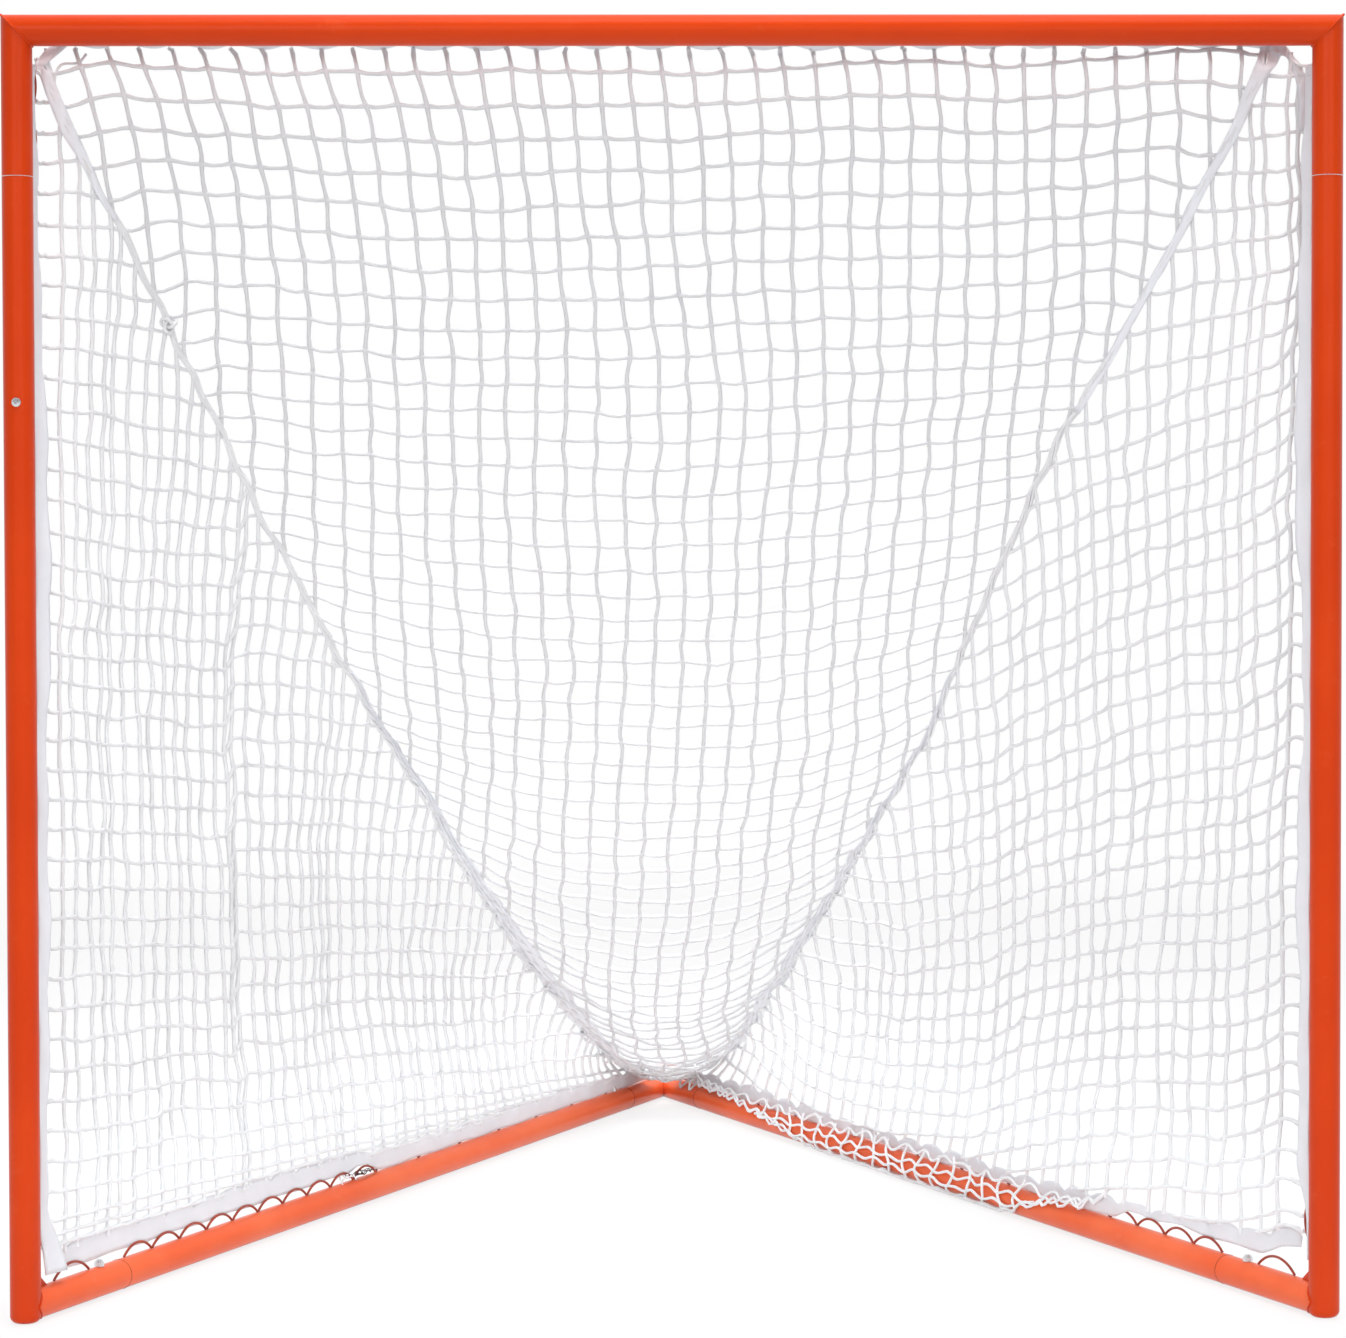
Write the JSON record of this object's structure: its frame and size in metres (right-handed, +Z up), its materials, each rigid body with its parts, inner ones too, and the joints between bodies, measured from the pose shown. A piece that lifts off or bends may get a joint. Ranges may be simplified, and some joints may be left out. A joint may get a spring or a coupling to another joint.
{
  "type": "lacrosse goal with net",
  "caption": "Field goal with a square tube mouth, a V-shaped ground base to one rear corner, and a laced triangular net.",
  "frame": {"origin": "on the ground, in the middle of the whole goal's outline", "axes": "+X to the right of someone who faces the mouth, +Y to the back, +Z up"},
  "size_m": [1.9178, 2.2152, 1.8732],
  "materials": {
    "frame_paint": "bright orange powder coat with a soft gloss",
    "bare_steel": "bare drawn steel, inside the tubes",
    "zinc": "bright zinc plate",
    "net_cord": "white knotted and braided polyester cord",
    "webbing": "white woven tape, gathered where the net's edge is bound in it"
  },
  "bodies": {
    "root": {"crossbar": "frame_paint", "top_corner_left": "frame_paint", "top_corner_right": "frame_paint", "post_left": "frame_paint", "post_right": "frame_paint", "foot_cap_left": "frame_paint", "foot_cap_right": "frame_paint", "front_base_left": "frame_paint", "front_base_right": "frame_paint", "gusset_left": "frame_paint", "gusset_right": "frame_paint", "base_side_left": "frame_paint", "base_side_right": "frame_paint", "rear_corner_left": "frame_paint", "rear_corner_right": "frame_paint", "post_sleeve_left": "bare_steel", "post_sleeve_right": "bare_steel", "front_sleeve_left": "bare_steel", "front_sleeve_right": "bare_steel", "rear_sleeve_left": "bare_steel", "rear_sleeve_right": "bare_steel", "post_screws": "zinc", "weld_nuts": "bare_steel", "base_studs": "zinc", "lock_nuts": "zinc", "rod_crossbar": "frame_paint", "rod_top_left": "frame_paint", "rod_top_right": "frame_paint", "rod_post_left": "frame_paint", "rod_post_right": "frame_paint", "rod_front_left": "frame_paint", "rod_front_right": "frame_paint", "rod_side_left": "frame_paint", "rod_side_right": "frame_paint", "net_top": "net_cord", "net_left": "net_cord", "net_right": "net_cord", "seam_left": "net_cord", "seam_right": "net_cord", "web_crossbar": "webbing", "web_post_left": "webbing", "web_post_right": "webbing", "web_base_left": "webbing", "web_base_right": "webbing"}
  },
  "joints": []
}
